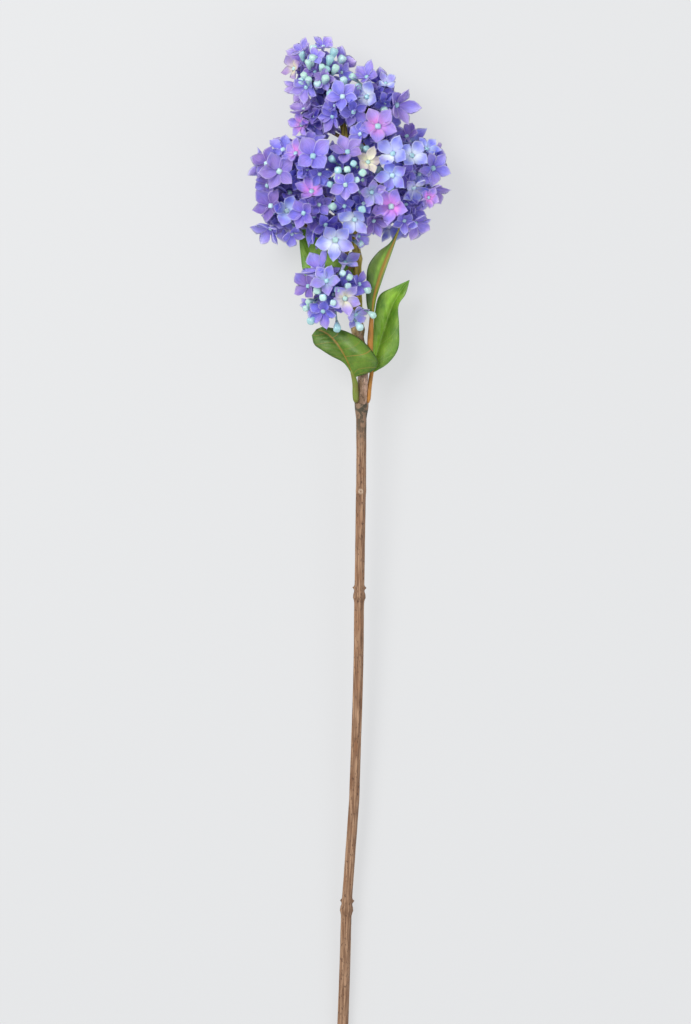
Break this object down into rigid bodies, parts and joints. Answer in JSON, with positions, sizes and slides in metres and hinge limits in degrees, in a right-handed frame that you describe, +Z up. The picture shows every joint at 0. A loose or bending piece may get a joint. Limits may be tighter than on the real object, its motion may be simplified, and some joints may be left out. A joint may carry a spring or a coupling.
{
  "type": "lilac stem",
  "caption": "Cut lilac stem lying on a surface: woody stem with node rings, leafy shoot, and a full head of four and five petalled violet florets with pale green buds.",
  "frame": {"origin": "on the surface the stem lies on, under the middle of its bounding box", "axes": "+Y along the stem from its cut end towards the flower head, +Z up from the surface it lies on"},
  "size_m": [0.1397, 0.7215, 0.0787],
  "materials": {
    "stem_bark": "matte tan-brown bark with lengthwise grooves and fine specks",
    "shoot_bark": "rough grey-brown bark below, olive-brown above",
    "leaf": "satin mid green with paler veins and orange-brown midrib",
    "lilac_bloom": "soft violet-blue petals with pale rims, pale green glossy buds"
  },
  "bodies": {
    "root": {"stem": "stem_bark", "flower_shoot": "shoot_bark", "leaf_left_back": "leaf", "leaf_right_upper": "leaf", "leaf_right_lower": "leaf", "leaf_left_front": "leaf", "spray_tip": "lilac_bloom", "spray_upper_front": "lilac_bloom", "spray_upper_left": "lilac_bloom", "spray_upper_right": "lilac_bloom", "spray_middle_right": "lilac_bloom", "spray_left": "lilac_bloom", "spray_left_front": "lilac_bloom", "spray_low_left": "lilac_bloom", "spray_low_left_front": "lilac_bloom", "spray_centre": "lilac_bloom", "spray_right_front": "lilac_bloom", "spray_right": "lilac_bloom", "spray_low_right": "lilac_bloom", "spray_low_middle": "lilac_bloom", "spray_lowest": "lilac_bloom", "spray_loose_cluster": "lilac_bloom", "spray_back_top": "lilac_bloom", "spray_back_upper_right": "lilac_bloom", "spray_back_left": "lilac_bloom", "spray_back_right": "lilac_bloom", "spray_back_centre": "lilac_bloom", "spray_back_low_left": "lilac_bloom", "spray_back_low_right": "lilac_bloom"}
  },
  "joints": []
}
